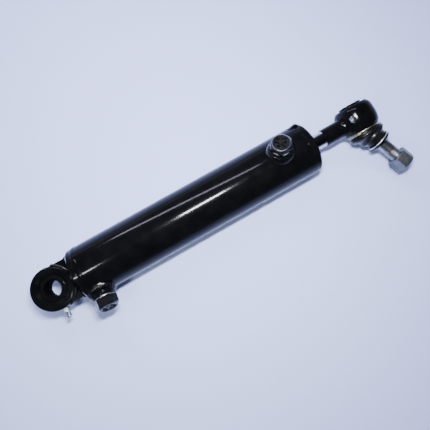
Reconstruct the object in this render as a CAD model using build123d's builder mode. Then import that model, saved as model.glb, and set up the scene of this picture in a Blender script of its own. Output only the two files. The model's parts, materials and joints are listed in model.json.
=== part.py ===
# Double-acting hydraulic cylinder with a greased rear eye, two welded port bosses and a ball-joint
# rod end.  Millimetres.  The origin is the centre of the rear eye's bore, +X runs along the cylinder
# towards the rod end and +Z is the axis of the eye's bore.
import os
from math import cos, radians, sin, sqrt

from build123d import *

os.makedirs("parts", exist_ok=True)

# ---- driving dimensions -------------------------------------------------------------------------
TUBE_R, BORE_R = 32.5, 25.0          # honed tube, 65 outside and 50 inside
TUBE_REAR, TUBE_FRONT = 39.0, 339.0  # ends of the tube along X
CAP_REAR, CAP_SPIGOT = 29.0, 41.0    # welded rear cap
BARREL_FRONT = 349.5                 # front face of the gland
ROD_R, STROKE = 10.0, 200.0

EYE_R, EYE_HALF, EYE_BORE_R = 26.0, 15.5, 10.0
BUSH_R, BUSH_HALF, SEAL_R, SEAL_DEPTH = 14.0, 13.5, 18.5, 3.5
LUG_HALF_Y, LUG_HALF_Z, EYE_ROUND = 25.0, 12.5, 2.6

PORT_X_REAR, PORT_ANGLE_REAR = 47.0, -70.0    # angle from +Z, positive towards +Y
PORT_X_FRONT, PORT_ANGLE_FRONT = 307.0, 18.0
BOSS_R, BOSS_TOP, BOSS_BORE_R = 13.5, 41.0, 6.5
BOSS_FOOT, OIL_HOLE_R = 24.0, 4.0
WASHER, STEM_END, MOUTH_FLOOR = 1.5, 27.0, 1.0
PORT_HEX, PORT_THREAD_R = 24.0, 9.0
PORT_TOP_REAR, PORT_TOP_FRONT = 54.0, 49.5    # distance of each port's face from the cylinder axis

PISTON_REAR, PISTON_FRONT = 54.0, 86.0
PISTON_R, GROOVE_R = 24.8, 21.5
RING_GAP = 0.03                               # running clearance of seals and wear rings

BALL_X, BALL_DROP, BALL_R, LINER_R = 420.0, 6.0, 12.5, 14.6   # the ball sits below the rod's axis
HOUSING_R, HOUSING_TOP, HOUSING_LIP = 25.1, 24.3, 8.5
ROLL, SWING = 6.0, 23.0                       # housing rolled about X, stud swung towards +X
NECK_START, NECK_R = 370.0, 11.2
LIP_AT, NUT_AT, STUD_END = 31.8, 62.4, 78.0   # along the stud from the ball's centre
NUT_AF, NUT_H, NUT_TURN, STUD_R = 24.0, 17.0, 36.0, 8.0
FIT = 0.04                                    # radial running clearance of pins and shafts
THROUGH = 20.0                                # depth of a cut that passes right through a wall

# ---- planes -------------------------------------------------------------------------------------
SOCKET_DIR = Vector(0, -cos(radians(ROLL)), -sin(radians(ROLL)))
SIDE_DIR = Vector(0, -sin(radians(ROLL)), cos(radians(ROLL)))
STUD_DIR = Vector(1, 0, 0) * sin(radians(SWING)) + SOCKET_DIR * cos(radians(SWING))
BALL = Vector(BALL_X, 0, 0) + SOCKET_DIR * BALL_DROP
SOCKET = Plane(origin=BALL, x_dir=(1, 0, 0), z_dir=SOCKET_DIR)
STUD = Plane(origin=BALL, x_dir=SIDE_DIR, z_dir=STUD_DIR)


def port_plane(x, angle):
    """Plane on the cylinder axis whose z axis is the port's axis."""
    out = Vector(0, sin(radians(angle)), cos(radians(angle)))
    return Plane(origin=(x, 0, 0), x_dir=(1, 0, 0), z_dir=out)


REAR_PORT = port_plane(PORT_X_REAR, PORT_ANGLE_REAR)
FRONT_PORT = port_plane(PORT_X_FRONT, PORT_ANGLE_FRONT)


def radial(plane):
    """Sketch plane through the plane's z axis: x is the radius and y the height along that axis."""
    return Plane(origin=plane.origin, x_dir=plane.x_dir, z_dir=plane.x_dir.cross(plane.z_dir))


def outline(points, plane=Plane.XY):
    """Closed straight-sided outline.  On Plane.XY a point is (place along X, radius)."""
    with BuildSketch(plane) as area:
        with BuildLine():
            Polyline(*points, close=True)
        make_face()
    return area.sketch


def ring(start, end, inner, outer):
    """Outline of a plain ring about X."""
    return outline([(start, inner), (end, inner), (end, outer), (start, outer)])


def collar(plane, start, end, inner, outer):
    """Outline of a plain ring about a plane's z axis."""
    corners = [(inner, start), (outer, start), (outer, end), (inner, end)]
    return outline(corners, radial(plane))


def disc(plane, radius):
    """Round outline on a plane."""
    with BuildSketch(plane) as area:
        Circle(radius)
    return area.sketch


def hexagon(plane, across_flats):
    """Hexagonal outline on a plane."""
    with BuildSketch(plane) as area:
        RegularPolygon(across_flats / 2, 6, major_radius=False)
    return area.sketch


def save(part, name):
    part.label = name
    export_step(part, f"parts/{name}.step")


# ---- barrel ---------------------------------------------------------------------------------------
LOCK_START, LOCK_END, LOCK_DEPTH = 332.0, 336.0, 2.0
LOCK_TAIL_ANGLE = 62.0
TAIL_LENGTH, TAIL_WIDTH, TAIL_TOP = 13.0, 6.5, 35.2
TAIL = port_plane((LOCK_START + LOCK_END) / 2, LOCK_TAIL_ANGLE)
BENT_TAIL = port_plane(LOCK_START - 0.5 + TAIL_LENGTH / 2, LOCK_TAIL_ANGLE)

with BuildPart() as barrel_tube:
    bevel = 3.0
    wall = [(TUBE_REAR, BORE_R), (TUBE_FRONT, BORE_R), (TUBE_FRONT, TUBE_R - 0.6),
            (TUBE_FRONT - 0.6, TUBE_R), (TUBE_REAR + bevel, TUBE_R), (TUBE_REAR, TUBE_R - bevel)]
    revolve(outline(wall), axis=Axis.X)
    for port in (REAR_PORT, FRONT_PORT):
        with BuildSketch(port.offset(BORE_R - 5)):
            Circle(BOSS_BORE_R)
        extrude(amount=THROUGH, mode=Mode.SUBTRACT)
    revolve(ring(LOCK_START, LOCK_END, BORE_R - 1, BORE_R + LOCK_DEPTH), axis=Axis.X, mode=Mode.SUBTRACT)
    with BuildSketch(TAIL.offset(BORE_R)):
        Rectangle(LOCK_END - LOCK_START + 0.2, TAIL_WIDTH + 0.2)
    extrude(amount=THROUGH, mode=Mode.SUBTRACT)
save(barrel_tube.part, "barrel_tube")

with BuildPart() as rear_cap:
    edge = 2.5
    cap = [(CAP_REAR, 0), (CAP_SPIGOT, 0), (CAP_SPIGOT, BORE_R - 1), (CAP_SPIGOT - 1, BORE_R),
           (TUBE_REAR, BORE_R), (TUBE_REAR, TUBE_R - bevel), (TUBE_REAR - bevel, TUBE_R - 0.5),
           (CAP_REAR + edge, TUBE_R - 0.5), (CAP_REAR, TUBE_R - 0.5 - edge)]
    revolve(outline(cap), axis=Axis.X)
save(rear_cap.part, "rear_cap")

with BuildPart() as rear_cap_weld:
    bead = 0.3
    with BuildSketch():
        with BuildLine():
            Polyline((TUBE_REAR - bevel, TUBE_R - 0.5), (TUBE_REAR, TUBE_R - bevel),
                     (TUBE_REAR + bevel, TUBE_R))
            ThreePointArc((TUBE_REAR + bevel, TUBE_R), (TUBE_REAR, TUBE_R + bead),
                          (TUBE_REAR - bevel, TUBE_R - 0.5))
        make_face()
    revolve(axis=Axis.X)
    extrude(disc(REAR_PORT.offset(BORE_R), BOSS_BORE_R), amount=THROUGH, mode=Mode.SUBTRACT)
save(rear_cap_weld.part, "rear_cap_weld")

# ---- rear eye -------------------------------------------------------------------------------------
NIPPLE_THREAD_R, NIPPLE_HEX, NIPPLE_HEX_H, NIPPLE_HOLE_R = 3.0, 8.0, 4.2, 0.7
EYE_NIPPLE = Plane(origin=(0, 0, 0), x_dir=(1, 0, 0), z_dir=(-0.06, -1, 0))
EYE_SIDE = Plane.XZ

with BuildPart() as rear_eye:
    with BuildSketch(Plane.XY.offset(-EYE_HALF)):
        Circle(EYE_R)
    extrude(amount=2 * EYE_HALF)
    fillet(rear_eye.edges().filter_by(GeomType.CIRCLE), EYE_ROUND)
    with BuildSketch(Plane.XY.offset(-LUG_HALF_Z)):
        with Locations((CAP_REAR / 2 + 3, 0)):
            Rectangle(CAP_REAR - 6, 2 * LUG_HALF_Y)
    extrude(amount=2 * LUG_HALF_Z)
    with BuildSketch(Plane.XY.offset(-EYE_HALF)):
        Circle(BUSH_R)
    extrude(amount=2 * EYE_HALF, mode=Mode.SUBTRACT)
    for face_z in (-EYE_HALF, EYE_HALF - SEAL_DEPTH):
        with BuildSketch(Plane.XY.offset(face_z)):
            Circle(SEAL_R)
        extrude(amount=SEAL_DEPTH, mode=Mode.SUBTRACT)
    with BuildSketch(EYE_NIPPLE.offset(BUSH_R - 1)):
        Circle(NIPPLE_THREAD_R)
    extrude(amount=EYE_R, mode=Mode.SUBTRACT)
save(rear_eye.part, "rear_eye")

with BuildPart() as eye_bush:
    mouth_bevel = 1.0
    sleeve = [(EYE_BORE_R, -BUSH_HALF + mouth_bevel), (EYE_BORE_R + mouth_bevel, -BUSH_HALF),
              (BUSH_R, -BUSH_HALF), (BUSH_R, BUSH_HALF), (EYE_BORE_R + mouth_bevel, BUSH_HALF),
              (EYE_BORE_R, BUSH_HALF - mouth_bevel)]
    revolve(outline(sleeve, EYE_SIDE), axis=Axis.Z)
    with BuildSketch(EYE_NIPPLE.offset(EYE_BORE_R - 1)):
        Circle(NIPPLE_THREAD_R / 2)
    extrude(amount=BUSH_R, mode=Mode.SUBTRACT)
save(eye_bush.part, "eye_bush")

with BuildPart() as eye_seals:
    pocket_floor = EYE_HALF - SEAL_DEPTH
    for side in (-1, 1):
        dish = [(BUSH_R, pocket_floor), (SEAL_R, pocket_floor), (SEAL_R, EYE_HALF - 0.9),
                (SEAL_R - 0.8, EYE_HALF - 0.9), (SEAL_R - 2.6, EYE_HALF - 2.4),
                (BUSH_R + 0.9, EYE_HALF - 2.4), (BUSH_R, EYE_HALF - 1.8)]
        revolve(outline([(r, side * z) for r, z in dish], EYE_SIDE), axis=Axis.Z)
save(eye_seals.part, "eye_seals")

with BuildPart() as eye_weld:
    bead_y, bead_z, bead_x = 2.0, 5.0, 5.0
    with BuildSketch(Plane.YZ.offset(CAP_REAR)):
        RectangleRounded(2 * (LUG_HALF_Y + bead_y), 2 * (LUG_HALF_Z + bead_z), bead_x)
    with BuildSketch(Plane.YZ.offset(CAP_REAR - bead_x)):
        RectangleRounded(2 * LUG_HALF_Y + 1, 2 * LUG_HALF_Z + 1, 1)
    loft()
    for side in (-1, 1):
        seam = [(EYE_R - 0.4, side * (LUG_HALF_Z - 1)), (EYE_R + 3, side * (LUG_HALF_Z - 1)),
                (EYE_R + 3, side * (LUG_HALF_Z + 0.6)), (EYE_R + 0.4, side * (EYE_HALF - 1.2)),
                (EYE_R - 0.4, side * (EYE_HALF - 1.2))]
        revolve(outline(seam, EYE_SIDE), axis=Axis.Z)
    with BuildSketch(Plane.XY.offset(-EYE_R)):
        with Locations((-EYE_R + EYE_R / 3, 0)):
            Rectangle(2 * EYE_R, 4 * EYE_R)
    extrude(amount=2 * EYE_R, mode=Mode.SUBTRACT)
    with BuildSketch(Plane.XY.offset(-LUG_HALF_Z)):
        with Locations((CAP_REAR / 2, 0)):
            Rectangle(CAP_REAR, 2 * LUG_HALF_Y)
        Circle(EYE_R)
    extrude(amount=2 * LUG_HALF_Z, mode=Mode.SUBTRACT)
    with BuildSketch(Plane.XY.offset(-EYE_HALF)):
        Circle(EYE_R)
    extrude(amount=2 * EYE_HALF, mode=Mode.SUBTRACT)
    with BuildSketch(Plane.YZ.offset(CAP_REAR)):
        Rectangle(4 * EYE_R, 4 * EYE_R)
    extrude(amount=EYE_R, mode=Mode.SUBTRACT)
    for edge_y in (-LUG_HALF_Y - bead_y - 5, LUG_HALF_Y + bead_y + 5):
        with BuildSketch(Plane.YZ):
            with Locations((edge_y, 0)):
                Rectangle(10, 4 * EYE_R)
        extrude(amount=CAP_REAR - bead_x, mode=Mode.SUBTRACT)
save(eye_weld.part, "eye_weld")


# ---- grease nipples -------------------------------------------------------------------------------
def nipple_outline(plane, seat):
    """Turned body of a grease nipple: thread, cone and ball head, on a seat height along z."""
    body = [(0, -5), (2.9, -5), (2.9, 0), (3.9, 0), (3.9, 5.0), (2.4, 6.4), (2.2, 8.4),
            (3.1, 9.6), (3.1, 11.0), (1.6, 12.6), (0, 12.6)]
    return outline([(r, seat + h) for r, h in body], radial(plane))


def nipple_spin(plane):
    return Axis(plane.origin, plane.z_dir)


with BuildPart() as rear_grease_nipple:
    eye_seat = EYE_R - 0.2
    revolve(nipple_outline(EYE_NIPPLE, eye_seat), axis=nipple_spin(EYE_NIPPLE))
    with BuildSketch(EYE_NIPPLE.offset(eye_seat)):
        RegularPolygon(NIPPLE_HEX / 2, 6, major_radius=False)
    extrude(amount=NIPPLE_HEX_H)
    with BuildSketch(EYE_NIPPLE.offset(eye_seat + 4)):
        Circle(NIPPLE_HOLE_R)
    extrude(amount=10, mode=Mode.SUBTRACT)
    with BuildSketch(Plane.XY.offset(-EYE_HALF)):
        Circle(EYE_R)
    extrude(amount=2 * EYE_HALF, mode=Mode.SUBTRACT)
    with BuildSketch(EYE_NIPPLE.offset(EYE_R - 6)):
        Circle(NIPPLE_THREAD_R)
    extrude(amount=6.5)
save(rear_grease_nipple.part, "rear_grease_nipple")


# ---- ports ----------------------------------------------------------------------------------------
def boss_solid(port):
    """Turned boss, saddled onto the tube."""
    shoulder = 2.0
    corners = [(BOSS_BORE_R, BOSS_FOOT), (BOSS_R, BOSS_FOOT), (BOSS_R, BOSS_TOP - shoulder),
               (BOSS_R - shoulder, BOSS_TOP), (BOSS_BORE_R, BOSS_TOP)]
    revolve(outline(corners, radial(port)), axis=Axis(port.origin, port.z_dir))
    revolve(ring(0, BARREL_FRONT, 0, TUBE_R), axis=Axis.X, mode=Mode.SUBTRACT)


def boss_weld_solid(port):
    """Fillet weld between the boss and the tube."""
    leg, toe, throat = 4.5, 1.6, 7.2
    seam = sqrt(TUBE_R ** 2 - BOSS_R ** 2)
    corners = [(BOSS_R, BOSS_FOOT), (BOSS_R + leg, BOSS_FOOT), (BOSS_R + leg, seam + toe),
               (BOSS_R + toe / 2, seam + throat), (BOSS_R, seam + throat)]
    revolve(outline(corners, radial(port)), axis=Axis(port.origin, port.z_dir))
    revolve(ring(0, BARREL_FRONT, 0, TUBE_R), axis=Axis.X, mode=Mode.SUBTRACT)


def adapter_solid(port, top):
    """Hexagonal port adapter with a turned chamfer, a stem in the boss and an open mouth."""
    base = BOSS_TOP + WASHER
    corner = PORT_HEX / 2 / cos(radians(30))
    extrude(hexagon(port.offset(base), PORT_HEX), amount=top - base)
    face_r, slope = 10.4, 3.4
    cone = [(0, base), (corner, base), (corner, top - slope), (face_r, top), (0, top)]
    revolve(outline(cone, radial(port)), axis=Axis(port.origin, port.z_dir), mode=Mode.INTERSECT)
    extrude(disc(port.offset(STEM_END), BOSS_BORE_R), amount=base - STEM_END)
    extrude(disc(port.offset(STEM_END), OIL_HOLE_R), amount=top, mode=Mode.SUBTRACT)
    extrude(disc(port.offset(base + MOUTH_FLOOR), PORT_THREAD_R), amount=THROUGH, mode=Mode.SUBTRACT)


def plug_solid(port, top):
    """Ribbed plastic shipping plug pushed into the adapter's mouth."""
    rib, inset, floor = 1.3, 0.8, 1.2
    plug_r = PORT_THREAD_R - FIT
    foot = BOSS_TOP + WASHER + MOUTH_FLOOR + 0.2
    height = top - inset - foot
    extrude(disc(port.offset(foot), plug_r), amount=height)
    extrude(disc(port.offset(foot + floor), plug_r - rib), amount=THROUGH, mode=Mode.SUBTRACT)
    for turn in (0, 60, 120):
        with BuildSketch(port.offset(foot + floor)) as cross:
            Rectangle(2 * plug_r - rib, rib, rotation=turn)
        extrude(cross.sketch, amount=height - floor)


with BuildPart() as rear_port_boss:
    boss_solid(REAR_PORT)
    revolve(ring(0, TUBE_REAR + bevel, 0, TUBE_R + 1.05 * bead), axis=Axis.X, mode=Mode.SUBTRACT)
save(rear_port_boss.part, "rear_port_boss")

with BuildPart() as front_port_boss:
    boss_solid(FRONT_PORT)
save(front_port_boss.part, "front_port_boss")

with BuildPart() as rear_port_weld:
    boss_weld_solid(REAR_PORT)
    revolve(ring(0, TUBE_REAR + bevel, 0, TUBE_R + 2 * bead), axis=Axis.X, mode=Mode.SUBTRACT)
    revolve(ring(0, CAP_REAR + edge, 0, TUBE_R + 9), axis=Axis.X, mode=Mode.SUBTRACT)
save(rear_port_weld.part, "rear_port_weld")

with BuildPart() as front_port_weld:
    boss_weld_solid(FRONT_PORT)
save(front_port_weld.part, "front_port_weld")

with BuildPart() as rear_port_adapter:
    adapter_solid(REAR_PORT, PORT_TOP_REAR)
save(rear_port_adapter.part, "rear_port_adapter")

with BuildPart() as front_port_adapter:
    adapter_solid(FRONT_PORT, PORT_TOP_FRONT)
save(front_port_adapter.part, "front_port_adapter")

with BuildPart() as port_washers:
    for port in (REAR_PORT, FRONT_PORT):
        washer = collar(port, BOSS_TOP, BOSS_TOP + WASHER, BOSS_BORE_R, BOSS_R - 1.0)
        revolve(washer, axis=Axis(port.origin, port.z_dir))
save(port_washers.part, "port_washers")

with BuildPart() as rear_port_plug:
    plug_solid(REAR_PORT, PORT_TOP_REAR)
save(rear_port_plug.part, "rear_port_plug")

with BuildPart() as front_port_plug:
    plug_solid(FRONT_PORT, PORT_TOP_FRONT)
save(front_port_plug.part, "front_port_plug")

# ---- gland ----------------------------------------------------------------------------------------
NOSE_REAR, NOSE_R, GLAND_BODY = 290.0, 21.0, 316.0
O_RING = (320.0, 323.0)
BACKUP = (323.0, 324.5)
BUSH = (292.0, 312.0)
ROD_SEAL = (318.0, 328.0)
WIPER = (338.0, 346.0)
ROD_HOLE_R, BUSH_OUT_R, SEAL_OUT_R = ROD_R + 0.4, 12.5, 15.0

with BuildPart() as gland:
    rim = 3.0
    shape = [(NOSE_REAR, ROD_HOLE_R), (BARREL_FRONT, ROD_HOLE_R), (BARREL_FRONT, TUBE_R - rim - 1),
             (BARREL_FRONT - 1, TUBE_R - rim + 0.6), (BARREL_FRONT - rim, TUBE_R - 0.4),
             (TUBE_FRONT + 1.2, TUBE_R - 0.4), (TUBE_FRONT + 0.4, TUBE_R - 1.2),
             (TUBE_FRONT, TUBE_R - 1.2), (TUBE_FRONT, BORE_R), (GLAND_BODY, BORE_R),
             (GLAND_BODY, NOSE_R), (NOSE_REAR, NOSE_R)]
    revolve(outline(shape), axis=Axis.X)
    grooves = [(O_RING[0], BACKUP[1], BORE_R - 2.6, BORE_R + 1),
               (LOCK_START, LOCK_END, BORE_R - LOCK_DEPTH, BORE_R + 1),
               (*BUSH, ROD_HOLE_R - 1, BUSH_OUT_R), (*ROD_SEAL, ROD_HOLE_R - 1, SEAL_OUT_R),
               (*WIPER, ROD_HOLE_R - 1, SEAL_OUT_R)]
    for start, end, inner, outer in grooves:
        revolve(ring(start, end, inner, outer), axis=Axis.X, mode=Mode.SUBTRACT)
save(gland.part, "gland")

with BuildPart() as gland_o_ring:
    revolve(ring(*O_RING, BORE_R - 2.6, BORE_R), axis=Axis.X)
save(gland_o_ring.part, "gland_o_ring")

with BuildPart() as gland_backup_ring:
    revolve(ring(*BACKUP, BORE_R - 2.6, BORE_R), axis=Axis.X)
save(gland_backup_ring.part, "gland_backup_ring")

with BuildPart() as gland_lock_wire:
    revolve(ring(LOCK_START, LOCK_END, BORE_R - LOCK_DEPTH, BORE_R + LOCK_DEPTH), axis=Axis.X)
    with BuildSketch(TAIL.offset(BORE_R + 1)):
        Rectangle(LOCK_END - LOCK_START, TAIL_WIDTH)
    extrude(amount=TUBE_R - BORE_R - 1)
    with BuildSketch(BENT_TAIL.offset(TUBE_R)):
        Rectangle(TAIL_LENGTH, TAIL_WIDTH)
    extrude(amount=TAIL_TOP - TUBE_R)
    revolve(ring(0, LOCK_START, 0, TUBE_R), axis=Axis.X, mode=Mode.SUBTRACT)
    revolve(ring(LOCK_END, BARREL_FRONT, 0, TUBE_R), axis=Axis.X, mode=Mode.SUBTRACT)
save(gland_lock_wire.part, "gland_lock_wire")

with BuildPart() as guide_bush:
    revolve(ring(*BUSH, ROD_R + FIT, BUSH_OUT_R), axis=Axis.X)
save(guide_bush.part, "guide_bush")

with BuildPart() as rod_seal:
    revolve(ring(*ROD_SEAL, ROD_R + RING_GAP, SEAL_OUT_R), axis=Axis.X)
save(rod_seal.part, "rod_seal")

with BuildPart() as rod_wiper:
    lip_out = BARREL_FRONT + 1.6
    wiper = [(WIPER[0], ROD_R + 1), (WIPER[1], ROD_R + RING_GAP), (lip_out, ROD_R + RING_GAP),
             (lip_out, ROD_R + 0.35), (WIPER[1], ROD_HOLE_R), (WIPER[1], SEAL_OUT_R),
             (WIPER[0], SEAL_OUT_R)]
    revolve(outline(wiper), axis=Axis.X)
save(rod_wiper.part, "rod_wiper")

# ---- piston and rod -------------------------------------------------------------------------------
SPIGOT_R, NUT_FACE = 7.5, 44.5
SEAL_AT = (66.0, 74.0)
WEAR_AT = ((57.0, 62.0), (78.0, 83.0))
O_RING_IN = (69.0, 71.5)
TAIL_SPIGOT_R, TAIL_SPIGOT_END = 6.0, 388.0

with BuildPart() as piston_rod:
    shaft = [(NUT_FACE - 1.5, 0), (NUT_FACE - 1.5, SPIGOT_R - 1), (NUT_FACE - 0.5, SPIGOT_R),
             (PISTON_FRONT - 4, SPIGOT_R), (PISTON_FRONT - 4, ROD_R), (NECK_START, ROD_R),
             (NECK_START, TAIL_SPIGOT_R), (TAIL_SPIGOT_END, TAIL_SPIGOT_R), (TAIL_SPIGOT_END, 0)]
    revolve(outline(shaft), axis=Axis.X)
save(piston_rod.part, "piston_rod")

with BuildPart() as piston:
    land = 1.0
    head = [(PISTON_REAR, SPIGOT_R), (PISTON_FRONT - 4, SPIGOT_R), (PISTON_FRONT - 4, ROD_R),
            (PISTON_FRONT, ROD_R), (PISTON_FRONT, PISTON_R - land), (PISTON_FRONT - land, PISTON_R),
            (PISTON_REAR + land, PISTON_R), (PISTON_REAR, PISTON_R - land)]
    revolve(outline(head), axis=Axis.X)
    for start, end in (SEAL_AT, *WEAR_AT):
        revolve(ring(start - 0.05, end + 0.05, GROOVE_R, BORE_R + 1), axis=Axis.X, mode=Mode.SUBTRACT)
    revolve(ring(*O_RING_IN, SPIGOT_R - 1, SPIGOT_R + 2), axis=Axis.X, mode=Mode.SUBTRACT)
save(piston.part, "piston")

with BuildPart() as piston_o_ring:
    revolve(ring(*O_RING_IN, SPIGOT_R, SPIGOT_R + 2), axis=Axis.X)
save(piston_o_ring.part, "piston_o_ring")

with BuildPart() as piston_nut:
    with BuildSketch(Plane.YZ.offset(NUT_FACE)):
        RegularPolygon(12, 6, major_radius=False)
        Circle(SPIGOT_R, mode=Mode.SUBTRACT)
    extrude(amount=PISTON_REAR - NUT_FACE)
save(piston_nut.part, "piston_nut")

with BuildPart() as piston_seal:
    revolve(ring(*SEAL_AT, GROOVE_R + RING_GAP, BORE_R - RING_GAP), axis=Axis.X)
save(piston_seal.part, "piston_seal")

with BuildPart() as piston_wear_rings:
    for start, end in WEAR_AT:
        revolve(ring(start, end, GROOVE_R + RING_GAP, BORE_R - RING_GAP), axis=Axis.X)
save(piston_wear_rings.part, "piston_wear_rings")

# ---- ball joint housing ---------------------------------------------------------------------------
# Heights are along the housing's axis from the ball's centre, positive towards the stud.
COVER_TOP, COVER_STEP, COVER_SEAT, COVER_R, DOME_R = -26.9, -23.1, -21.5, 17.0, 14.0
SNAP_AT, SNAP_R = (-24.2, -23.1), 18.2
MOUTH_AT, MOUTH_R, MOUTH_OUT_R = 5.0, 13.78, 16.4
PAD_AT, PAD_HOLE_R = -18.0, 7.0
ROOM = 0.06                                   # clearance of the ball liner, inside and outside
NIPPLE_LEAN, NIPPLE_RAISE = 34.0, 9.0
SOCKET_AXIS, STUD_AXIS = Axis(BALL, SOCKET_DIR), Axis(BALL, STUD_DIR)
SOCKET_SIDE, STUD_SIDE = radial(SOCKET), radial(STUD)
LEAN_DIR = SIDE_DIR * cos(radians(NIPPLE_LEAN)) - Vector(1, 0, 0) * sin(radians(NIPPLE_LEAN))
HOUSING_NIPPLE = Plane(origin=BALL - SOCKET_DIR * NIPPLE_RAISE, x_dir=SOCKET_DIR, z_dir=LEAN_DIR)

with BuildPart() as rod_end_housing:
    flank = [(19.4, -HOUSING_TOP), (22.5, -21.0), (24.7, -12.0), (HOUSING_R, -3.0),
             (23.6, 5.0)]
    rim = (21.3, HOUSING_LIP)
    with BuildSketch(SOCKET_SIDE):
        with BuildLine():
            Spline(*flank)
            Polyline(flank[-1], rim, (0, HOUSING_LIP), (0, -HOUSING_TOP), flank[0])
        make_face()
    revolve(axis=SOCKET_AXIS)
    with BuildSketch():
        with BuildLine():
            flare_start, flare_end = (BALL_X - 29, NECK_R), (BALL_X - 17, NECK_R + 5.5)
            Polyline(flare_end, (BALL_X - 12, NECK_R + 5.5), (BALL_X - 12, 0), (NECK_START, 0),
                     (NECK_START, NECK_R - 1), (NECK_START + 1, NECK_R), flare_start)
            ThreePointArc(flare_start, (BALL_X - 21.8, NECK_R + 1.5), flare_end)
        make_face()
    revolve(axis=Axis.X)
    below_lip = collar(SOCKET, HOUSING_LIP, 2 * HOUSING_LIP, 0, 2 * HOUSING_R)
    revolve(below_lip, axis=SOCKET_AXIS, mode=Mode.SUBTRACT)
    with Locations(Location(BALL)):
        Sphere(LINER_R + ROOM, mode=Mode.SUBTRACT)
    pocket = [(0, 0), (LINER_R + ROOM, 0), (LINER_R + ROOM, COVER_SEAT), (COVER_R, COVER_SEAT),
              (COVER_R, -HOUSING_TOP - 5), (0, -HOUSING_TOP - 5)]
    revolve(outline(pocket, SOCKET_SIDE), axis=SOCKET_AXIS, mode=Mode.SUBTRACT)
    revolve(collar(SOCKET, *SNAP_AT, COVER_R - 1, SNAP_R), axis=SOCKET_AXIS, mode=Mode.SUBTRACT)
    mouth = [(0, 0), (MOUTH_R, 0), (MOUTH_R, MOUTH_AT), (MOUTH_OUT_R, HOUSING_LIP),
             (MOUTH_OUT_R, HOUSING_LIP + 5), (0, HOUSING_LIP + 5)]
    revolve(outline(mouth, SOCKET_SIDE), axis=SOCKET_AXIS, mode=Mode.SUBTRACT)
    revolve(ring(NECK_START, TAIL_SPIGOT_END, 0, TAIL_SPIGOT_R), axis=Axis.X, mode=Mode.SUBTRACT)
    with BuildSketch(HOUSING_NIPPLE.offset(LINER_R - 3)):
        Circle(NIPPLE_THREAD_R)
    extrude(amount=THROUGH, mode=Mode.SUBTRACT)
save(rod_end_housing.part, "rod_end_housing")

with BuildPart() as ball_cover:
    cover = [(0, COVER_SEAT), (COVER_R, COVER_SEAT), (COVER_R, COVER_STEP), (DOME_R, COVER_STEP),
             (DOME_R, COVER_TOP + 1), (DOME_R - 1, COVER_TOP), (DOME_R - 4, COVER_TOP),
             (DOME_R - 5, COVER_TOP + 1), (0, COVER_TOP + 1)]
    revolve(outline(cover, SOCKET_SIDE), axis=SOCKET_AXIS)
save(ball_cover.part, "ball_cover")

with BuildPart() as cover_snap_ring:
    snap_gap = 6.0
    revolve(collar(SOCKET, *SNAP_AT, COVER_R - 1.4, SNAP_R), axis=SOCKET_AXIS)
    with BuildSketch(SOCKET.offset(SNAP_AT[0] - 1)):
        with Locations((0, -COVER_R)):
            Rectangle(snap_gap, 2 * snap_gap)
    extrude(amount=4, mode=Mode.SUBTRACT)
save(cover_snap_ring.part, "cover_snap_ring")

with BuildPart() as preload_spring:
    spring = [(9.0, PAD_AT), (11.0, PAD_AT), (14.0, COVER_SEAT), (12.0, COVER_SEAT)]
    revolve(outline(spring, SOCKET_SIDE), axis=SOCKET_AXIS)
save(preload_spring.part, "preload_spring")

with BuildPart() as pressure_pad:
    revolve(collar(SOCKET, PAD_AT, -6.0, PAD_HOLE_R, LINER_R), axis=SOCKET_AXIS)
    with Locations(Location(BALL)):
        Sphere(LINER_R + ROOM, mode=Mode.SUBTRACT)
save(pressure_pad.part, "pressure_pad")

with BuildPart() as housing_grease_nipple:
    housing_seat = HOUSING_R - 2.4
    revolve(nipple_outline(HOUSING_NIPPLE, housing_seat), axis=nipple_spin(HOUSING_NIPPLE))
    with BuildSketch(HOUSING_NIPPLE.offset(housing_seat)):
        RegularPolygon(NIPPLE_HEX / 2, 6, major_radius=False)
    extrude(amount=NIPPLE_HEX_H)
    with BuildSketch(HOUSING_NIPPLE.offset(housing_seat + 4)):
        Circle(NIPPLE_HOLE_R)
    extrude(amount=10, mode=Mode.SUBTRACT)
    revolve(collar(SOCKET, -2 * HOUSING_TOP, HOUSING_TOP, 0, HOUSING_R), axis=SOCKET_AXIS, mode=Mode.SUBTRACT)
    with BuildSketch(HOUSING_NIPPLE.offset(HOUSING_R - 5.5)):
        Circle(NIPPLE_THREAD_R)
    extrude(amount=6.5)
save(housing_grease_nipple.part, "housing_grease_nipple")

# ---- ball, stud and boot --------------------------------------------------------------------------
# Heights are along the stud's axis from the ball's centre.
LINER_OPEN, LINER_TOP = 50.0, 25.0            # half angles of the liner's openings
STUD_NECK_R, STUD_WIDE_R, BOOT_BORE_R = 6.0, 8.5, 8.5
STUD_NECK_END, STUD_WIDE_START, STUD_BEVEL = 17.0, 23.0, 1.4
BOOT_MID, BOOT_MID_R, BOOT_WALL, BOOT_TOP_R = 22.5, 14.8, 2.0, 18.4
LIP_R, LIP_FLANGE_R, LIP_RING, LIP_END = 13.8, 15.2, 1.4, 37.5

with BuildPart() as ball_liner:
    inner = BALL_R + ROOM
    with BuildSketch(STUD_SIDE):
        with BuildLine():
            low, high = radians(90 - LINER_OPEN), radians(LINER_TOP - 90)
            ThreePointArc((inner * cos(low), inner * sin(low)), (inner, 0),
                          (inner * cos(high), inner * sin(high)))
            Line((inner * cos(high), inner * sin(high)), (LINER_R * cos(high), LINER_R * sin(high)))
            ThreePointArc((LINER_R * cos(high), LINER_R * sin(high)), (LINER_R, 0),
                          (LINER_R * cos(low), LINER_R * sin(low)))
            Line((LINER_R * cos(low), LINER_R * sin(low)), (inner * cos(low), inner * sin(low)))
        make_face()
    revolve(axis=STUD_AXIS)
save(ball_liner.part, "ball_liner")

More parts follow.
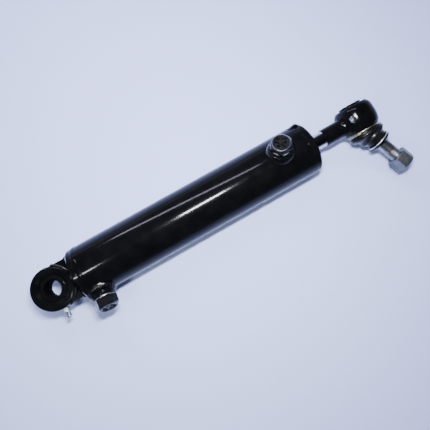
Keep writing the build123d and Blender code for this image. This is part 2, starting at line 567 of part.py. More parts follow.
with BuildPart() as ball_stud:
    with BuildSketch(STUD_SIDE):
        with BuildLine():
            seat = sqrt(BALL_R ** 2 - STUD_NECK_R ** 2)
            flat = -BALL_R * 0.9
            flat_r = sqrt(BALL_R ** 2 - flat ** 2)
            Line((0, flat), (flat_r, flat))
            ThreePointArc((flat_r, flat), (BALL_R, 0), (STUD_NECK_R, seat))
            Polyline((STUD_NECK_R, seat), (STUD_NECK_R, STUD_NECK_END), (STUD_WIDE_R, STUD_WIDE_START),
                     (STUD_WIDE_R, LIP_END + 1), (STUD_R, LIP_END + 5),
                     (STUD_R, STUD_END - STUD_BEVEL), (STUD_R - STUD_BEVEL, STUD_END),
                     (0, STUD_END), (0, flat))
        make_face()
    revolve(axis=STUD_AXIS)
save(ball_stud.part, "ball_stud")

with BuildPart() as stud_nut:
    with BuildSketch(STUD.offset(NUT_AT)):
        RegularPolygon(NUT_AF / 2, 6, major_radius=False, rotation=NUT_TURN)
        Circle(STUD_R, mode=Mode.SUBTRACT)
    extrude(amount=NUT_H)
    crest, bevel_h = NUT_AF / 2 / cos(radians(30)), 1.6
    barrelled = [(STUD_R, NUT_AT), (crest - 1.4, NUT_AT), (crest, NUT_AT + 1.2),
                 (crest, NUT_AT + NUT_H - 1.2), (crest - 1.4, NUT_AT + NUT_H),
                 (STUD_R + bevel_h, NUT_AT + NUT_H), (STUD_R, NUT_AT + NUT_H - bevel_h)]
    revolve(outline(barrelled, STUD_SIDE), axis=STUD_AXIS, mode=Mode.INTERSECT)
save(stud_nut.part, "stud_nut")

with BuildPart() as boot_clamp_ring:
    clamp = collar(SOCKET, HOUSING_LIP + 0.1, HOUSING_LIP + 1.9, BOOT_TOP_R + 0.1, BOOT_TOP_R + 2.0)
    revolve(clamp, axis=SOCKET_AXIS)
save(boot_clamp_ring.part, "boot_clamp_ring")

with BuildPart() as boot_upper:
    boot_base, cuff = HOUSING_LIP + 0.2, 3.0
    for shrink, mode in ((0, Mode.ADD), (BOOT_WALL, Mode.SUBTRACT)):
        extrude(disc(SOCKET.offset(boot_base), BOOT_TOP_R - shrink), amount=cuff, mode=mode)
        with BuildSketch(SOCKET.offset(boot_base + cuff)):
            Circle(BOOT_TOP_R - shrink)
        with BuildSketch(STUD.offset(BOOT_MID)):
            Circle(BOOT_MID_R - shrink)
        loft(mode=mode)
save(boot_upper.part, "boot_upper")

with BuildPart() as boot_lower:
    for shrink, mode in ((0, Mode.ADD), (BOOT_WALL, Mode.SUBTRACT)):
        with BuildSketch(STUD.offset(BOOT_MID + 0.3)):
            Circle(BOOT_MID_R - shrink)
        with BuildSketch(STUD.offset(LIP_AT - LIP_RING)):
            Circle(LIP_R - 0.6 - shrink)
        loft(mode=mode)
save(boot_lower.part, "boot_lower")

with BuildPart() as boot_small_ring:
    revolve(collar(STUD, LIP_AT - LIP_RING + 0.2, LIP_AT + 0.2, BOOT_BORE_R + FIT, LIP_R), axis=STUD_AXIS)
save(boot_small_ring.part, "boot_small_ring")

with BuildPart() as boot_lip:
    lip = [(BOOT_BORE_R + FIT, LIP_AT + 0.2), (LIP_R - 0.6, LIP_AT + 0.2), (LIP_FLANGE_R, LIP_AT + 1.6),
           (LIP_FLANGE_R, LIP_AT + 3.0), (BOOT_BORE_R + 3, LIP_END), (BOOT_BORE_R + FIT, LIP_END)]
    revolve(outline(lip, STUD_SIDE), axis=STUD_AXIS)
save(boot_lip.part, "boot_lip")
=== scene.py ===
import json
from math import cos, pi, radians, sin, sqrt, tau

import bmesh
import bpy
from mathutils import Matrix, Vector

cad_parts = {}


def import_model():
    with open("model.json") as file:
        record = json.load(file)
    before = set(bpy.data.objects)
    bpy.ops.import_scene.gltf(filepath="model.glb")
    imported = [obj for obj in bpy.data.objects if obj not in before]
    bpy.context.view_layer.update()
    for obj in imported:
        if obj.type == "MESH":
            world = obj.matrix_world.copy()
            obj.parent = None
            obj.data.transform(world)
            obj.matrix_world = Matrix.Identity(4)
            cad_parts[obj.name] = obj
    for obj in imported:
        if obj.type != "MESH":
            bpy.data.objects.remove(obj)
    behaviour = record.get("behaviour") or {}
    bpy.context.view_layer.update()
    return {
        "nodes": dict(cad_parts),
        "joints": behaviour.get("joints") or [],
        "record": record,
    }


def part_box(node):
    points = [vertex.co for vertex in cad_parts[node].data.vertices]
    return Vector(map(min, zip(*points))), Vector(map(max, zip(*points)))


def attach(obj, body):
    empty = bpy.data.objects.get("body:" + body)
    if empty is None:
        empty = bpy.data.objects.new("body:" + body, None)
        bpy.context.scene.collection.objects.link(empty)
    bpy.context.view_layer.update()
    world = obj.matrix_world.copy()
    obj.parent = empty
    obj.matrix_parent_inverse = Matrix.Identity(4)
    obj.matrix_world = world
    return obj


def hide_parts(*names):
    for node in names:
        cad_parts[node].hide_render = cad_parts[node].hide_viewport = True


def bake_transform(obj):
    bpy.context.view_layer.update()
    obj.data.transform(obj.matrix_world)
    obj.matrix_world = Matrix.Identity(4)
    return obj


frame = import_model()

MM = 0.001
# Sizes of the cylinder in millimetres that the mesh pieces have to meet.
TUBE_R = 32.5
PORT_X = {"rear": 47.0, "front": 307.0}
REAR_BEAD_END_X = 31.0    # the rear port's weld stops here, short of the cap's edge

# ---- axes of the moving joints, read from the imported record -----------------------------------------
JOINTS = {joint["name"]: joint for joint in frame["joints"]}
BALL = Vector(JOINTS["stud_swing"]["pos_m"])
STUD_DIR = Vector(JOINTS["stud_spin"]["axis"]).normalized()
SWING_AXIS = Vector(JOINTS["stud_swing"]["axis"]).normalized()
ARM = Vector((1, 0, 0))
# The socket opens square to the arm and to the swing axis, on the side of -Y.
SOCKET_DIR = SWING_AXIS.cross(ARM).normalized()
if SOCKET_DIR.y > 0:
    SOCKET_DIR.negate()
STUD_SIDE = (ARM - STUD_DIR * ARM.dot(STUD_DIR)).normalized()
STUD_OTHER = STUD_DIR.cross(STUD_SIDE)
PORTS = {
    "rear": Vector(JOINTS["rear_plug_pull"]["axis"]).normalized(),
    "front": Vector(JOINTS["front_plug_pull"]["axis"]).normalized(),
}


# ---- shader helpers -----------------------------------------------------------------------------------
def fill_ramp(node, stops):
    """Set a colour ramp's stops: (place, value), with the value a number or a colour."""
    elements = node.color_ramp.elements
    while len(elements) < len(stops):
        elements.new(0.5)
    for element, (place, value) in zip(elements, stops):
        element.position = place
        colour = (value,) * 3 if isinstance(value, (int, float)) else tuple(value)
        element.color = (*colour, 1)


class Shader:
    """One node material with a Principled shader and a running bump chain."""

    def __init__(self, name):
        self.mat = bpy.data.materials.new(name)
        self.mat.use_nodes = True
        self.tree = self.mat.node_tree
        self.bsdf = self.tree.nodes["Principled BSDF"]
        self.coords = self.tree.nodes.new("ShaderNodeTexCoord").outputs["Object"]
        self.bump_from = None

    def link(self, a, b):
        self.tree.links.new(a, b)

    def value(self, **sockets):
        """Set constants on the Principled shader; an underscore in a name stands for a space."""
        for name, number in sockets.items():
            self.bsdf.inputs[name.replace("_", " ")].default_value = number

    def noise(self, scale, detail=3.0, rough=0.5, stretch=(1, 1, 1)):
        """Noise fixed to the object; a large stretch makes it fine along that axis."""
        tex = self.tree.nodes.new("ShaderNodeTexNoise")
        tex.inputs["Scale"].default_value = scale
        tex.inputs["Detail"].default_value = detail
        tex.inputs["Roughness"].default_value = rough
        mapping = self.tree.nodes.new("ShaderNodeMapping")
        mapping.inputs["Scale"].default_value = stretch
        self.link(self.coords, mapping.inputs["Vector"])
        self.link(mapping.outputs["Vector"], tex.inputs["Vector"])
        return tex.outputs["Fac"]

    def ramp(self, fac, *stops):
        node = self.tree.nodes.new("ShaderNodeValToRGB")
        fill_ramp(node, stops)
        self.link(fac, node.inputs["Fac"])
        return node.outputs["Color"]

    def mix(self, fac, a, b):
        """Colour between a and b, each a socket or a colour; fac is a socket or a number."""
        node = self.tree.nodes.new("ShaderNodeMix")
        node.data_type = "RGBA"
        inputs = [s for s in node.inputs if s.enabled]
        for socket, value in zip(inputs, (fac, a, b)):
            if isinstance(value, bpy.types.NodeSocket):
                self.link(value, socket)
            elif isinstance(value, (int, float)):
                socket.default_value = value
            else:
                socket.default_value = (*value, 1)
        return [s for s in node.outputs if s.enabled][0]

    def math(self, kind, a, b):
        node = self.tree.nodes.new("ShaderNodeMath")
        node.operation = kind
        for socket, value in zip(node.inputs, (a, b)):
            if isinstance(value, bpy.types.NodeSocket):
                self.link(value, socket)
            else:
                socket.default_value = value
        return node.outputs[0]

    def vector(self, kind, a, b=None):
        """Vector operation on a socket and, if given, a constant."""
        node = self.tree.nodes.new("ShaderNodeVectorMath")
        node.operation = kind
        self.link(a, node.inputs[0])
        if b is not None:
            node.inputs[1].default_value = b
        return node.outputs

    def bump(self, height, distance, strength):
        """Add bump on top of any that came before."""
        node = self.tree.nodes.new("ShaderNodeBump")
        node.inputs["Strength"].default_value = strength
        node.inputs["Distance"].default_value = distance
        self.link(height, node.inputs["Height"])
        if self.bump_from is not None:
            self.link(self.bump_from, node.inputs["Normal"])
        self.bump_from = node.outputs["Normal"]
        self.link(self.bump_from, self.bsdf.inputs["Normal"])

    def soft_edges(self, radius):
        """Round the look of hard edges; comes before any bump."""
        node = self.tree.nodes.new("ShaderNodeBevel")
        node.samples = 4
        node.inputs["Radius"].default_value = radius
        self.bump_from = node.outputs["Normal"]
        self.link(self.bump_from, self.bsdf.inputs["Normal"])


def gloss_paint(name="gloss_paint", edge=0.0006):
    """Black gloss enamel: faint orange peel, fine dust and soft variation of gloss."""
    s = Shader(name)
    s.soft_edges(edge)
    tone = s.noise(60, 4)
    dust = s.ramp(s.noise(2600, 2, 0.6), (0.66, 0.0), (0.78, 1.0))
    patch = s.ramp(s.noise(35, 3), (0.45, 0.0), (0.75, 1.0))
    speck = s.math("MULTIPLY", dust, patch)
    base = s.ramp(tone, (0.3, (0.0018, 0.0018, 0.0022)), (0.8, (0.0036, 0.0036, 0.0042)))
    dusty = s.mix(s.math("MULTIPLY", speck, 0.25), base, (0.05, 0.05, 0.06))
    s.link(dusty, s.bsdf.inputs["Base Color"])
    s.link(s.ramp(s.noise(90, 3), (0.3, 0.115), (0.75, 0.165)), s.bsdf.inputs["Roughness"])
    s.bump(s.noise(420, 2, 0.5), 0.00005, 0.16)
    s.bump(s.noise(1500, 2, 0.6), 0.00001, 0.2)
    s.value(Coat_Weight=0.1, Coat_Roughness=0.06, Coat_IOR=1.35, Specular_IOR_Level=0.08)
    return s.mat


def weld_paint():
    """The same enamel lying thick over the weld's ripples and spatter."""
    s = Shader("weld_paint")
    s.link(s.ramp(s.noise(180, 4), (0.3, (0.001, 0.001, 0.0012)), (0.8, (0.003, 0.003, 0.0034))),
           s.bsdf.inputs["Base Color"])
    s.link(s.ramp(s.noise(240, 3), (0.3, 0.12), (0.75, 0.3)), s.bsdf.inputs["Roughness"])
    s.bump(s.noise(520, 3, 0.6), 0.0003, 0.6)
    s.value(Coat_Weight=0.18, Coat_Roughness=0.05, Coat_IOR=1.4, Specular_IOR_Level=0.2)
    return s.mat


def metal(name, dark, light, rough, grain=(1, 1, 1), grain_scale=900, bump=0.3, edge=0.0004):
    """Bare or plated steel with a directional grain and cloudy tone."""
    s = Shader(name)
    s.soft_edges(edge)
    cloud = s.ramp(s.noise(160, 4), (0.3, dark), (0.72, light))
    streak = s.noise(grain_scale, 3, 0.6, grain)
    worn = s.mix(s.ramp(streak, (0.35, 0.0), (0.7, 0.45)), cloud, light)
    s.link(worn, s.bsdf.inputs["Base Color"])
    s.link(s.ramp(streak, (0.3, rough * 0.75), (0.7, rough * 1.35)), s.bsdf.inputs["Roughness"])
    s.bump(streak, 0.00002, bump)
    s.value(Metallic=1.0)
    return s.mat


def rubber(name="boot_rubber", tone=0.006):
    """Moulded rubber: fine pebble, paler bloom in random patches and specks of dust."""
    s = Shader(name)
    pale = (tone * 1.5, tone * 1.5, tone * 1.6)
    bloom = s.ramp(s.noise(120, 4), (0.35, (tone * 0.6,) * 3), (0.8, pale))
    dust = s.ramp(s.noise(1900, 2, 0.7), (0.64, 0.0), (0.8, 0.35))
    s.link(s.mix(dust, bloom, (0.03, 0.03, 0.034)), s.bsdf.inputs["Base Color"])
    s.link(s.ramp(s.noise(200, 3), (0.3, 0.2), (0.75, 0.3)), s.bsdf.inputs["Roughness"])
    s.bump(s.noise(2400, 2, 0.5), 0.00002, 0.4)
    s.bump(s.noise(260, 3, 0.5), 0.00012, 0.25)
    s.value(Specular_IOR_Level=0.2)
    return s.mat


def plastic(name, colour, rough=0.45, gleam=0.5):
    """Moulded or greasy dark surface."""
    s = Shader(name)
    s.soft_edges(0.0003)
    dark = [c * 0.8 for c in colour]
    s.link(s.ramp(s.noise(300, 3), (0.3, dark), (0.75, colour)), s.bsdf.inputs["Base Color"])
    s.link(s.ramp(s.noise(700, 2), (0.3, rough * 0.85), (0.7, rough * 1.15)), s.bsdf.inputs["Roughness"])
    s.bump(s.noise(1800, 2, 0.5), 0.00002, 0.3)
    s.value(Specular_IOR_Level=gleam)
    return s.mat


def adapter_paint(name, node, out):
    """Enamelled hexagon whose mouth face was masked, so its outer rim is bare zinc."""
    # In metres: how far below the mouth face and how far from the port's axis the bare part starts.
    mask_depth, mask_fade = 0.0006, 0.0008
    rim_inside, rim_fade = 0.0097, 0.0006
    s = Shader(name)
    s.soft_edges(0.0005)
    top = max(v.co.dot(out) for v in frame["nodes"][node].data.vertices)
    low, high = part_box(node)
    on_axis = Vector(((low.x + high.x) / 2, 0, 0))
    height = s.vector("DOT_PRODUCT", s.coords, out)["Value"]
    ragged = s.math("ADD", height, s.math("MULTIPLY", s.noise(900, 2), 0.0005))
    above = s.math("MULTIPLY", s.math("SUBTRACT", ragged, top - mask_depth), 1 / mask_fade)
    face = s.ramp(above, (0.2, 0.0), (0.6, 1.0))
    from_axis = s.vector("SUBTRACT", s.coords, on_axis)["Vector"]
    reach = s.vector("LENGTH", s.vector("CROSS_PRODUCT", from_axis, out)["Vector"])["Value"]
    beyond = s.math("MULTIPLY", s.math("SUBTRACT", reach, rim_inside), 1 / rim_fade)
    outer = s.ramp(beyond, (0.2, 0.0), (0.8, 1.0))
    bare = s.math("MULTIPLY", face, outer)
    paint = s.ramp(s.noise(60, 4), (0.3, (0.003, 0.003, 0.0036)), (0.8, (0.006, 0.006, 0.007)))
    zinc = s.ramp(s.noise(500, 3), (0.3, (0.075, 0.083, 0.102)), (0.75, (0.16, 0.172, 0.208)))
    s.link(s.mix(bare, paint, zinc), s.bsdf.inputs["Base Color"])
    s.link(bare, s.bsdf.inputs["Metallic"])
    s.link(s.mix(bare, (0.2,) * 3, (0.38,) * 3), s.bsdf.inputs["Roughness"])
    s.bump(s.noise(600, 3), 0.00003, 0.4)
    s.value(Coat_Weight=0.3, Coat_Roughness=0.08)
    return s.mat


MATERIALS = {
    "gloss_paint": gloss_paint(),
    "weld_paint": weld_paint(),
    "chrome_rod": metal("chrome_rod", (0.50, 0.51, 0.55), (0.66, 0.67, 0.71), 0.09, (0.2, 6, 6), 500, 0.08),
    "machined_steel": metal("machined_steel", (0.34, 0.34, 0.35), (0.52, 0.52, 0.54), 0.3),
    "zinc_steel": metal("zinc_steel", (0.09, 0.093, 0.10), (0.24, 0.245, 0.26), 0.42,
                        (8, 1, 1), 520, 0.9, 0.0009),
    "stud_steel": metal("stud_steel", (0.20, 0.205, 0.21), (0.38, 0.385, 0.40), 0.32,
                        (0.15, 9, 0.15), 500, 0.9),
    "cover_paint": gloss_paint("cover_paint", 0.0005),
    "bright_wire": metal("bright_wire", (0.66, 0.67, 0.70), (0.88, 0.89, 0.92), 0.38),
    "nipple_zinc": metal("nipple_zinc", (0.26, 0.27, 0.29), (0.46, 0.47, 0.50), 0.3),
    "gold_wire": metal("gold_wire", (0.56, 0.50, 0.34), (0.80, 0.74, 0.56), 0.34),
    "bush_bronze": metal("bush_dark", (0.012, 0.012, 0.013), (0.035, 0.034, 0.036), 0.34),
    "greased_bush": plastic("greased_bush", (0.002, 0.002, 0.0024), 0.7, 0.03),
    "boot_rubber": rubber(),
    "seal_rubber": rubber("seal_rubber", 0.009),
    "seal_plastic": plastic("seal_plastic", (0.004, 0.004, 0.005), 0.34, 0.2),
}
SLOT_OF = {part["node"]: part["material_slot"] for part in frame["record"]["subparts"]}


def paint_node(node, material):
    """Give a CAD node one material in place of its plain one."""
    data = frame["nodes"][node].data
    data.materials.clear()
    data.materials.append(material)


for node, slot in SLOT_OF.items():
    paint_node(node, MATERIALS[slot])
# Some nodes look different from the rest of their slot: painted over, greased or left bare.
paint_node("eye_seals", MATERIALS["gloss_paint"])
paint_node("cover_snap_ring", MATERIALS["cover_paint"])
paint_node("rear_cap_weld", MATERIALS["gloss_paint"])
paint_node("rear_grease_nipple", MATERIALS["nipple_zinc"])
paint_node("eye_bush", MATERIALS["greased_bush"])
paint_node("rear_port_adapter", adapter_paint("rear_adapter", "rear_port_adapter", PORTS["rear"]))
paint_node("front_port_adapter", adapter_paint("front_adapter", "front_port_adapter", PORTS["front"]))


# ---- pieces built as meshes ------------------------------------------------------------------------------
def grid_piece(name, rows, material, body, closed=True):
    """Mesh through rows of points, each a closed loop.

    If closed, the last row joins the first; otherwise the two end rows are capped.
    """
    mesh = bmesh.new()
    made = [[mesh.verts.new(point) for point in row] for row in rows]
    count = len(rows[0])
    pairs = list(zip(made, made[1:]))
    if closed:
        pairs.append((made[-1], made[0]))
    for low, high in pairs:
        for i in range(count):
            j = (i + 1) % count
            mesh.faces.new((low[i], low[j], high[j], high[i]))
    if not closed:
        mesh.faces.new(list(reversed(made[0])))
        mesh.faces.new(made[-1])
    bmesh.ops.recalc_face_normals(mesh, faces=mesh.faces)
    for face in mesh.faces:
        face.smooth = len(face.verts) == 4
    data = bpy.data.meshes.new(name)
    mesh.to_mesh(data)
    mesh.free()
    data.materials.append(material)
    obj = bpy.data.objects.new(name, data)
    bpy.context.scene.collection.objects.link(obj)
    if body:
        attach(obj, body)
    return obj


def join_pieces(name, objs, body):
    """One object out of several, with the first one's material."""
    mesh = bmesh.new()
    for obj in objs:
        mesh.from_mesh(obj.data)
    data = bpy.data.meshes.new(name)
    mesh.to_mesh(data)
    mesh.free()
    data.materials.append(objs[0].data.materials[0])
    for obj in objs:
        bpy.data.objects.remove(obj)
    made = bpy.data.objects.new(name, data)
    bpy.context.scene.collection.objects.link(made)
    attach(made, body)
    return made


def ring(centre, side, other, radius, count):
    """Loop of points round a centre, in the plane of two unit vectors."""
    return [centre + (side * cos(tau * k / count) + other * sin(tau * k / count)) * radius
            for k in range(count)]


def smooth(x):
    """Ease from 0 to 1 as x goes from 0 to 1, level at both ends."""
    x = min(max(x, 0.0), 1.0)
    return x * x * (3 - 2 * x)


def lerp_table(table, x):
    """Smooth value from a table of (x, y)."""
    for (x0, y0), (x1, y1) in zip(table, table[1:]):
        if x <= x1:
            return y0 + (y1 - y0) * smooth((x - x0) / (x1 - x0))
    return table[-1][1]


# Heights in millimetres from the ball's centre, along the socket and then along the stud.
# BOOT is the boot's outline as (height, radius).
CUFF, SEAM, LIP = 8.7, 20.5, 30.8
BOOT = [(CUFF, 18.3), (11.2, 18.5), (14.4, 21.0), (18.2, 17.4), (21.8, 18.3), (26.4, 14.2), (28.4, 13.0),
        (LIP, 12.4)]
SWUNG = STUD_DIR.angle(SOCKET_DIR)


def boot_point(height, radius, turn):
    """Point of the boot: its rings turn about the ball from the socket's axis to the stud's."""
    local = SOCKET_DIR * height + ARM * radius * cos(turn) + SWING_AXIS * radius * sin(turn)
    swing = SWUNG * smooth((height - CUFF) / (SEAM - CUFF))
    spin = Matrix.Rotation(swing, 3, SOCKET_DIR.cross(STUD_DIR).normalized())
    return BALL + (spin @ local) * MM


def bellows(name, low, high, replaced):
    """Length of the folded rubber boot, a closed wall 1.4 mm thick."""
    around, wall = 96, 1.4
    steps = max(12, round((high - low) / 0.35))
    heights = [low + (high - low) * i / steps for i in range(steps + 1)]
    rows = []
    for inset, course in ((0.0, heights), (wall, list(reversed(heights)))):
        for h in course:
            row = []
            for k in range(around):
                turn = tau * k / around
                fold = 0.16 * sin(3 * turn + 0.4 * h) * smooth((h - 11) / 4) * smooth((LIP - h) / 4)
                row.append(boot_point(h, lerp_table(BOOT, h) + fold - inset, turn))
            rows.append(row)
    obj = grid_piece(name, rows, MATERIALS["boot_rubber"], None)
    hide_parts(*replaced)
    return obj


boot_socket_half = bellows("boot_folds_socket", CUFF, SEAM, ["boot_upper"])
# Halfway between the two axes the whole cuff lies below the blend and the whole seam ring above it.
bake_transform(boot_socket_half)
boot_stud_half = bellows("boot_folds_stud", SEAM, LIP, ["boot_lower"])
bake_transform(boot_stud_half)


def tube(name, points, radii, material, body, around, up):
    """Round bar through points with its own radius at each, its ends capped."""
    rows = []
    for i, (point, radius) in enumerate(zip(points, radii)):
        ahead = (points[min(i + 1, len(points) - 1)] - points[max(i - 1, 0)]).normalized()
        side = ahead.cross(up).normalized()
        rows.append(ring(point, side, side.cross(ahead), radius, around))
    return grid_piece(name, rows, material, body, closed=False)


def wire_ring():
    """Spring-wire clip: a full turn round the boot's cuff, then on for a stretch beside its own start."""
    steps, wire = 220, 0.72 * MM
    overlap = 62
    start, end = radians(188), radians(188 - 360 - overlap)
    points, radii = [], []
    for i in range(steps + 1):
        turn = start + (end - start) * i / steps
        extra = smooth((i / steps - 0.78) / 0.1)
        height = 9.35 + 1.5 * extra
        radius = 19.25 + 0.2 * extra
        points.append(BALL + (SOCKET_DIR * height + ARM * radius * cos(turn)
                              + SWING_AXIS * radius * sin(turn)) * MM)
        radii.append(wire)
    obj = tube("boot_wire_clip", points, radii, MATERIALS["gold_wire"], "rod", 12, SOCKET_DIR)
    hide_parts("boot_clamp_ring")


wire_ring()


def lip_ring():
    """Bright wire ring that grips the boot's small end."""
    around, section, wire, radius, height = 120, 12, 0.75, 14.5, 32.3
    rows = []
    for k in range(around):
        out = STUD_SIDE * cos(tau * k / around) + STUD_OTHER * sin(tau * k / around)
        middle = BALL + (STUD_DIR * height + out * radius) * MM
        rows.append(ring(middle, out, STUD_DIR, wire * MM, section))
    obj = grid_piece("boot_lip_wire", rows, MATERIALS["bright_wire"], "boot_ring")
    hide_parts("boot_small_ring")


lip_ring()


def lock_tab():
    """Bent tail of the gland's lock wire: a small rounded tab standing on the seam."""
    lean, start, last, half = radians(62), 332.4, 344.4, 3.1
    sunk = 1.5
    out = Vector((0, sin(lean), cos(lean)))
    side = Vector((0, cos(lean), -sin(lean)))
    rows = []
    for x, rise in ((start, -0.6), (start, 0.2), (start + 2, 0.8), (start + 5, 1.7), (last - 3.4, 2.5),
                    (last - 1.2, 2.5), (last - 0.3, 1.7), (last, -0.6)):
        rows.append([(x, rise, k) for k in (-1.0, -0.8, -0.4, 0.4, 0.8, 1.0)])
    loops = []
    for row in rows:
        top = [(ARM * x + out * (TUBE_R + rise * (1 - 0.35 * k ** 4)) + side * half * k) * MM
               for x, rise, k in row]
        base = [(ARM * x + out * (TUBE_R - sunk) + side * half * k) * MM for x, rise, k in reversed(row)]
        loops.append(top + base)
    obj = grid_piece("lock_tab", loops, MATERIALS["gloss_paint"], "barrel", closed=False)
    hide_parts("gland_lock_wire")


lock_tab()


def port_bead(end, cut=None):
    """Rippled fillet weld where a round boss meets the round tube; its foot may be cut off at an X."""
    boss, foot, throat = 13.45, 17.6, 5.6
    around, across, ripples = 300, 12, 34
    out, place = PORTS[end], PORT_X[end]
    rows = []
    flank = out.cross(ARM)
    for v in range(across + 1):
        t = v / across
        row = []
        for k in range(around):
            turn = tau * k / around
            wander = 0.35 * sin(2 * turn + 1.1) + 0.22 * sin(5 * turn)
            reach = foot + wander
            if cut is not None and cos(turn) < 0:
                reach = min(reach, (place - cut) / max(-cos(turn), 1e-3))
            radius = boss + (reach - boss) * t
            base = sqrt(TUBE_R ** 2 - (radius * sin(turn)) ** 2)
            line = base + throat * (1 - t) * (1 - 0.3 * t)
            phase = ripples * turn / tau + 0.85 * (t - 0.5) ** 2
            ripple = abs(sin(pi * phase)) ** 0.6
            swell = sin(pi * t) * (0.55 + 0.45 * ripple)
            height = line + swell - (0.5 if v == across else 0)
            radius += 0.35 * swell
            row.append((ARM * (radius * cos(turn) + place) + flank * radius * sin(turn) + out * height) * MM)
        rows.append(row)
    under = []
    for k in range(around):
        turn = tau * k / around
        base = sqrt(TUBE_R ** 2 - (boss * sin(turn)) ** 2) - 0.4
        under.append((ARM * (boss * cos(turn) + place) + flank * boss * sin(turn) + out * base) * MM)
    obj = grid_piece(f"{end}_port_bead", rows + [under], MATERIALS["weld_paint"], "barrel")
    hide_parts(f"{end}_port_weld")


port_bead("rear", REAR_BEAD_END_X)
port_bead("front")


def rippled(points, radius, pitch):
    """Radii of a weld bead whose overlapping puddles repeat every pitch along points."""
    travelled, radii = 0.0, []
    for i, point in enumerate(points):
        if i:
            travelled += (point - points[i - 1]).length
        step = (travelled / pitch) % 1.0
        puddle = 0.16 * sqrt(max(0.0, 1 - step ** 2))
        radii.append(radius * (0.86 + puddle + 0.03 * sin(0.9 * travelled / pitch)))
    return radii


def eye_beads():
    """Weld between the eye and the rear cap: across both faces and down both sides."""
    made = []
    half_y, half_z, corner, loop_x = 24.4, 12.7, 3.0, 27.6
    arc_r, arc_z, arc_half = 26.5, 12.9, 69
    loop = []
    corners = ((half_y, half_z), (-half_y, half_z), (-half_y, -half_z), (half_y, -half_z))
    for quarter, (cy, cz) in enumerate(corners):
        inner_y, inner_z = cy - corner * (1 if cy > 0 else -1), cz - corner * (1 if cz > 0 else -1)
        for i in range(9):
            turn = pi / 2 * (quarter + i / 8)
            loop.append(Vector((loop_x, inner_y + corner * cos(turn), inner_z + corner * sin(turn))))
    path = []
    for a, b in zip(loop, loop[1:] + loop[:1]):
        pieces = max(1, round((b - a).length / 0.4))
        path += [a.lerp(b, i / pieces) * MM for i in range(pieces)]
    path.append(path[0].copy())
    made.append(tube("bead_loop", path, rippled(path, 2.55 * MM, 2.3 * MM), MATERIALS["weld_paint"], None,
                     16, ARM))
    for side in (-1, 1):
        arc = []
        for i in range(161):
            turn = radians(-arc_half + 2 * arc_half * i / 160)
            arc.append(Vector((arc_r * cos(turn), arc_r * sin(turn), side * arc_z)) * MM)
        made.append(tube("bead_arc", arc, rippled(arc, 2.0 * MM, 1.9 * MM), MATERIALS["weld_paint"], None,
                         14, Vector((0, 0, 1))))
    obj = join_pieces("eye_beads", made, "barrel")
    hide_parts("eye_weld")


eye_beads()


def threaded_stud():
    """Ball stud turned from one bar: ball, waist, shank and a rolled thread under the nut."""
    ball_r, waist, shank, pin, pitch = 12.5, 6.0, 8.45, 8.0, 1.5
    start, last = 52.0, 78.0
    profile = []
    for i in range(25):
        lift = radians(-64 + (64 + 61.3) * i / 24)
        profile.append((ball_r * sin(lift), ball_r * cos(lift)))
    profile += [(12.6, waist + 0.1), (17.0, waist), (20.0, 7.1), (23.0, shank), (38.5, shank),
                (39.2, shank - 0.1), (42.5, pin), (start - 0.3, pin)]
    around = 72
    rows = [ring(BALL + STUD_DIR * z * MM, STUD_SIDE, STUD_OTHER, r * MM, around) for z, r in profile]
    z = start
    while z < last:
        row = []
        for k in range(around):
            phase = (z / pitch - k / around) % 1.0
            cut = 0.75 * (1 - abs(2 * phase - 1)) * smooth((z - start) / 1.5)
            r = min(pin - cut, pin - smooth((z - last + 1.4) / 1.4) * 1.2)
            out = STUD_SIDE * cos(tau * k / around) + STUD_OTHER * sin(tau * k / around)
            row.append(BALL + (STUD_DIR * z + out * r) * MM)
        rows.append(row)
        z += pitch / 8
    obj = grid_piece("threaded_stud", rows, MATERIALS["stud_steel"], "stud", closed=False)
    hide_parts("ball_stud")


threaded_stud()

# ---- camera, floor and lights ---------------------------------------------------------------------------
CAMERA_AT = Vector((0.1689, -0.0406, 0.4852))
CAMERA_BACK = Vector((-0.075, -0.0487, 0.9960)).normalized()
ALONG = (ARM - CAMERA_BACK * CAMERA_BACK.x).normalized()
ACROSS = CAMERA_BACK.cross(ALONG)
LEAN = radians(29.4)    # the cylinder climbs this much across the picture
RIGHT = ALONG * cos(LEAN) - ACROSS * sin(LEAN)
UP = ALONG * sin(LEAN) + ACROSS * cos(LEAN)
LENS = 33.5
FLOOR_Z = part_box("rear_cap_weld")[0].z - 0.0002

camera = bpy.data.objects.new("camera", bpy.data.cameras.new("camera"))
camera.data.lens = LENS
camera.data.sensor_width = 36
camera.matrix_world = Matrix.Translation(CAMERA_AT) @ Matrix((RIGHT, UP, CAMERA_BACK)).transposed().to_4x4()
bpy.context.scene.collection.objects.link(camera)
bpy.context.scene.camera = camera


def floor():
    """Pale lilac paper, far wider than the object."""
    half = 4.0
    corners = [(x * half, y * half, FLOOR_Z) for x, y in ((-1, -1), (1, -1), (1, 1), (-1, 1))]
    mesh = bpy.data.meshes.new("paper_floor")
    mesh.from_pydata(corners, [], [(0, 1, 2, 3)])
    obj = bpy.data.objects.new("paper_floor", mesh)
    bpy.context.scene.collection.objects.link(obj)
    s = Shader("paper")
    s.link(s.ramp(s.noise(2.2, 3), (0.3, (0.53, 0.585, 0.985)), (0.7, (0.565, 0.62, 1.0))),
           s.bsdf.inputs["Base Color"])
    s.bump(s.noise(900, 3), 0.00005, 0.2)
    s.value(Roughness=0.85, Specular_IOR_Level=0.2)
    mesh.materials.append(s.mat)


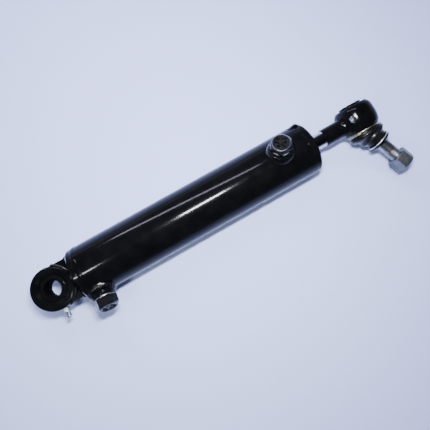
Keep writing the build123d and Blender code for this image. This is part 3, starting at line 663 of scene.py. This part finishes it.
def lamp(name, at, aim, size, size_y, power, colour, mirrored=True, along=(1, 0, 0)):
    """Rectangular lamp, long one way; if it isn't mirrored it leaves no highlight in the gloss."""
    data = bpy.data.lights.new(name, "AREA")
    data.shape = "RECTANGLE"
    data.size, data.size_y = size, size_y
    data.energy = power
    data.color = colour
    obj = bpy.data.objects.new(name, data)
    obj.visible_glossy = mirrored
    back = (Vector(at) - Vector(aim)).normalized()
    side = (Vector(along) - back * back.dot(Vector(along))).normalized()
    obj.matrix_world = Matrix.Translation(at) @ Matrix((side, back.cross(side), back)).transposed().to_4x4()
    bpy.context.scene.collection.objects.link(obj)


def world():
    """Soft studio surround: bright and lilac low down, dark overhead, and dimmer towards -Y."""
    made = bpy.data.worlds.new("studio")
    made.use_nodes = True
    tree = made.node_tree
    back = tree.nodes["Background"]
    coords = tree.nodes.new("ShaderNodeTexCoord")
    split = tree.nodes.new("ShaderNodeSeparateXYZ")
    ramp = tree.nodes.new("ShaderNodeValToRGB")
    tree.links.new(coords.outputs["Generated"], split.inputs["Vector"])
    tree.links.new(split.outputs["Z"], ramp.inputs["Fac"])
    # A darker side towards -Y keeps the barrel's lower edge from mirroring a bright surround.
    sway = tree.nodes.new("ShaderNodeMapRange")
    sway.inputs["From Min"].default_value = -0.7
    sway.inputs["From Max"].default_value = 0.6
    sway.inputs["To Min"].default_value = 0.22
    sway.inputs["To Max"].default_value = 1.15
    tree.links.new(split.outputs["Y"], sway.inputs["Value"])
    shade = tree.nodes.new("ShaderNodeVectorMath")
    shade.operation = "SCALE"
    tree.links.new(ramp.outputs["Color"], shade.inputs[0])
    tree.links.new(sway.outputs["Result"], shade.inputs["Scale"])
    tree.links.new(shade.outputs["Vector"], back.inputs["Color"])
    stops = ((0.0, (0.72, 0.75, 1.0)), (0.10, (0.50, 0.52, 0.70)), (0.26, (0.09, 0.09, 0.12)),
             (0.55, (0.010, 0.010, 0.013)), (1.0, (0.006, 0.006, 0.008)))
    fill_ramp(ramp, stops)
    back.inputs["Strength"].default_value = 1.7
    bpy.context.scene.world = made


floor()
world()
MIDDLE = Vector((0.2, 0, 0))
lamp("flash", CAMERA_AT + UP * 0.1 + RIGHT * 0.01, MIDDLE, 0.11, 0.03, 7.4, (0.90, 0.94, 1.0))
lamp("strip", (0.2, 0.50, 0.48), MIDDLE, 0.62, 0.03, 3.6, (0.80, 0.76, 1.0), along=(0.61, -0.79, 0))
lamp("rear_lamp", (-0.09, -0.06, 0.52), (0.05, 0, 0), 0.06, 0.03, 0.9, (0.95, 1.0, 0.97))
lamp("ceiling", (0.1, 0.6, 2.2), MIDDLE, 3.8, 3.2, 36.0, (0.70, 0.79, 1.0), mirrored=False)
